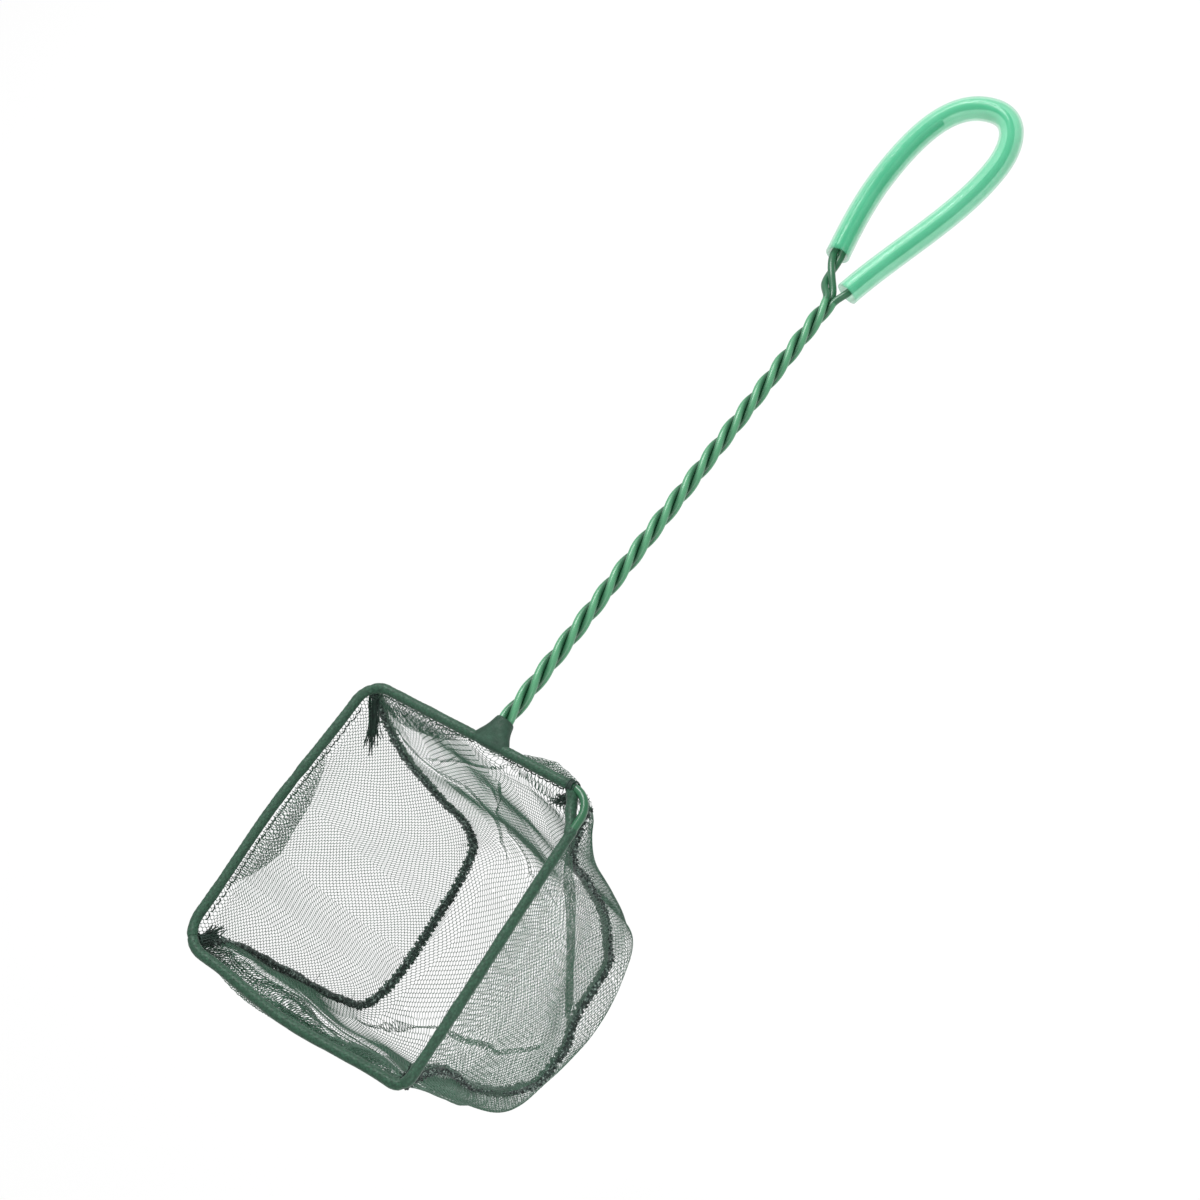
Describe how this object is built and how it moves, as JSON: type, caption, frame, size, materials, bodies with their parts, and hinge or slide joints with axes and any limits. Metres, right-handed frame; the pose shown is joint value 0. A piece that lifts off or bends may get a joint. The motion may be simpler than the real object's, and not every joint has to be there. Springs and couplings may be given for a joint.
{
  "type": "aquarium fish net",
  "caption": "Small hand net for aquarium fish: a fine mesh bag sewn on a square wire mouth, with a twisted wire shaft and a hand loop in clear green tubing.",
  "frame": {"origin": "in the eye of the hand loop, on the line of the shaft, 45 mm beyond the top of the shaft", "axes": "+Y along the handle away from the bag, +Z out of the mouth so that the bag hangs down, +X to the right across the mouth"},
  "size_m": [0.0731, 0.3001, 0.0809],
  "materials": {
    "wire": "glossy green plastic coat on steel wire",
    "tube": "soft, clear mint green tubing",
    "sleeve": "matt dark green dipped plastic",
    "mesh": "fine open knitted mesh",
    "hem": "mesh turned double round the wire",
    "seam": "fuzzy overlocked thread",
    "thread": "dark sewing thread"
  },
  "bodies": {
    "frame": {"wire": "wire", "grip_tube": "tube", "yoke_sleeve": "sleeve", "handle_wall": "mesh", "far_wall": "mesh", "left_panel": "mesh", "right_panel": "mesh", "left_hem": "hem", "right_hem": "hem", "far_hem": "hem", "handle_hem_left": "hem", "handle_hem_right": "hem", "left_seam": "seam", "right_seam": "seam", "left_stitching": "thread", "right_stitching": "thread", "far_stitching": "thread", "handle_stitching_left": "thread", "handle_stitching_right": "thread", "handle_left_tack": "thread", "handle_right_tack": "thread", "far_left_tack": "thread", "far_right_tack": "thread"},
    "bag_floor": {"net_floor": "mesh"}
  },
  "joints": [
    {"name": "bag_collapse", "type": "slide", "parent": "frame", "child": "bag_floor", "axis": [0, 0, 1], "range_m": [0, 0.06], "deforming": ["handle_wall", "far_wall", "left_panel", "right_panel", "left_seam", "right_seam"]}
  ]
}
